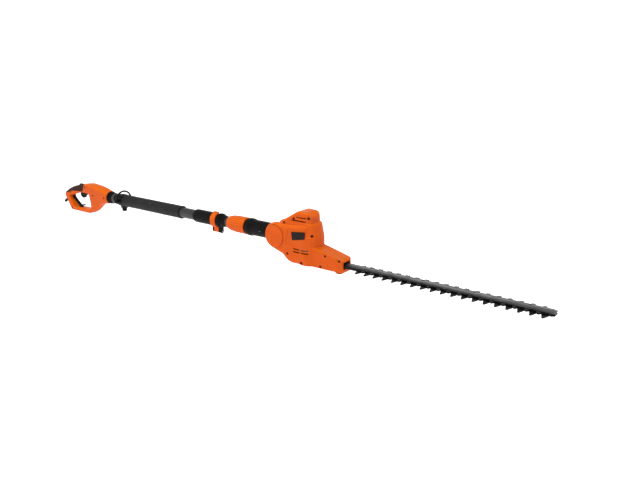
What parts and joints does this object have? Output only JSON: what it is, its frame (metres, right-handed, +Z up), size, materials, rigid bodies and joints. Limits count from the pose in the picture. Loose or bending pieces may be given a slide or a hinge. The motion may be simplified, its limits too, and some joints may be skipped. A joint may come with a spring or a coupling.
{
  "type": "pole hedge trimmer",
  "caption": "Corded hedge trimmer on a telescopic pole, with a tilting motor head, a double-sided reciprocating blade and a D-shaped rear handle.",
  "frame": {"origin": "middle of the flat foot under the nose of the trimming head", "axes": "+X along the pole from the handle towards the blade tip, +Y to the far side, +Z up; the machine rests on its foot and the flat bottom of its handle"},
  "size_m": [1.7825, 0.0765, 0.1485],
  "materials": {
    "orange_shell": "moulded glass-filled nylon, fine satin texture",
    "black_plastic": "moulded black plastic, fine matt texture",
    "soft_overmould": "soft-touch overmould, fine pebble texture",
    "foam": "closed-cell foam, finely pitted",
    "pole_grey": "anodised tube, satin, brushed along its length",
    "blade_steel": "hardened steel with a dark coating, ground edges",
    "blade_bar": "folded steel bar, dark satin",
    "steel": "turned steel",
    "zinc_screw": "zinc-plated screws",
    "copper_iron": "varnished windings on laminations",
    "brass_pin": "plain brass",
    "lead_rubber": "flexible cable jacket",
    "felt_seal": "wiper seal",
    "badge_black": "smooth blank badge",
    "carbon": "carbon block",
    "steel_black": "black powder-coated wire",
    "cast_plate": "die-cast plate"
  },
  "bodies": {
    "handle": {"handle_shell_near": "orange_shell", "handle_shell_far": "orange_shell", "grip_overmould": "soft_overmould", "handle_screws": "zinc_screw", "cord_hook": "black_plastic", "handle_sleeve": "black_plastic", "inlet_pins": "brass_pin", "inlet_plug": "black_plastic", "switch_block": "black_plastic", "capacitor": "badge_black", "handle_wiring": "lead_rubber", "trigger_pin": "steel", "strap_clamp": "black_plastic", "rear_tube": "pole_grey", "foam_grip": "foam", "tube_clamp": "black_plastic", "lever_pin": "steel"},
    "trigger": {"trigger": "black_plastic"},
    "lock_off_button": {"lock_off_button": "black_plastic"},
    "strap_ring": {"strap_ring": "steel_black"},
    "clamp_knob": {"clamp_knob": "black_plastic"},
    "lock_lever": {"lock_lever": "orange_shell"},
    "front_pole": {"inner_tube": "pole_grey", "tube_guide": "black_plastic", "pole_lead": "lead_rubber", "threaded_spigot": "black_plastic", "neck_sleeve": "black_plastic", "pivot_knuckle": "black_plastic", "detent_plate": "steel"},
    "coupling_nut": {"coupling_nut": "orange_shell"},
    "head": {"head_shell_near": "orange_shell", "head_shell_far": "orange_shell", "head_screws": "zinc_screw", "badge_plate": "badge_black", "pivot_pin": "steel", "motor_stator": "copper_iron", "motor_bearings": "steel", "brush_carrier": "black_plastic", "carbon_brushes": "carbon", "head_wiring": "lead_rubber", "gearbox_plate": "cast_plate", "guard_comb": "blade_steel", "guide_bar": "blade_bar", "blade_bolts": "zinc_screw", "blade_spacers": "steel", "blade_nuts": "zinc_screw", "blade_seal": "felt_seal"},
    "lock_button": {"pivot_button": "orange_shell", "button_spring": "steel"},
    "rotor": {"motor_rotor": "copper_iron", "motor_shaft": "steel", "motor_fan": "black_plastic", "motor_pinion": "steel"},
    "crank": {"crank_gear": "steel", "crank_shaft": "steel", "eccentrics": "steel"},
    "upper_blade": {"upper_blade": "blade_steel"},
    "lower_blade": {"lower_blade": "blade_steel"}
  },
  "joints": [
    {"name": "trigger_pull", "type": "hinge", "parent": "handle", "child": "trigger", "pos_m": [-1.096, 0, 0.08], "axis": [0, 1, 0], "range_deg": [0, 10], "stiffness_Nm_per_rad": 0.5, "springref_deg": -5.73},
    {"name": "lock_off_press", "type": "slide", "parent": "handle", "child": "lock_off_button", "axis": [0, 0, -1], "range_m": [0, 0.003], "stiffness_N_per_m": 400, "springref_m": -0.002},
    {"name": "strap_ring_swing", "type": "hinge", "parent": "handle", "child": "strap_ring", "pos_m": [-0.896, 0, 0.071], "axis": [0, 1, 0], "range_deg": [-38, 38]},
    {"name": "clamp_knob_turn", "type": "hinge", "parent": "handle", "child": "clamp_knob", "pos_m": [-0.896, 0, 0.04], "axis": [0, 0, 1], "range_deg": [0, 360]},
    {"name": "lock_lever_flip", "type": "hinge", "parent": "handle", "child": "lock_lever", "pos_m": [-0.4588, -0.002, 0.038], "axis": [1, 0, 0], "range_deg": [0, 100]},
    {"name": "pole_slide", "type": "slide", "parent": "handle", "child": "front_pole", "axis": [1, 0, 0], "range_m": [0, 0.42]},
    {"name": "coupling_nut_turn", "type": "hinge", "parent": "front_pole", "child": "coupling_nut", "pos_m": [-0.371, 0, 0.071], "axis": [1, 0, 0], "range_deg": [0, 360]},
    {"name": "head_tilt", "type": "hinge", "parent": "front_pole", "child": "head", "pos_m": [-0.208, 0, 0.071], "axis": [0, 1, 0], "range_deg": [-45, 90]},
    {"name": "lock_button_press", "type": "slide", "parent": "head", "child": "lock_button", "axis": [0, 1, 0], "range_m": [0, 0.0035], "stiffness_N_per_m": 1500, "springref_m": -0.003},
    {"name": "rotor_spin", "type": "hinge", "parent": "head", "child": "rotor", "pos_m": [-0.111, 0, 0.08], "axis": [0, 0, 1], "continuous": true},
    {"name": "crank_spin", "type": "hinge", "parent": "head", "child": "crank", "pos_m": [-0.0834, 0, 0.034], "axis": [0, 0, 1], "continuous": true},
    {"name": "upper_blade_stroke", "type": "slide", "parent": "head", "child": "upper_blade", "axis": [1, 0, 0], "range_m": [-0.0065, 0.0065]},
    {"name": "lower_blade_stroke", "type": "slide", "parent": "head", "child": "lower_blade", "axis": [1, 0, 0], "range_m": [-0.0065, 0.0065]}
  ],
  "couplings": [
    {"joint": "crank_spin", "follows": "rotor_spin", "ratio": -0.29412},
    {"joint": "lower_blade_stroke", "follows": "upper_blade_stroke", "ratio": -1}
  ]
}
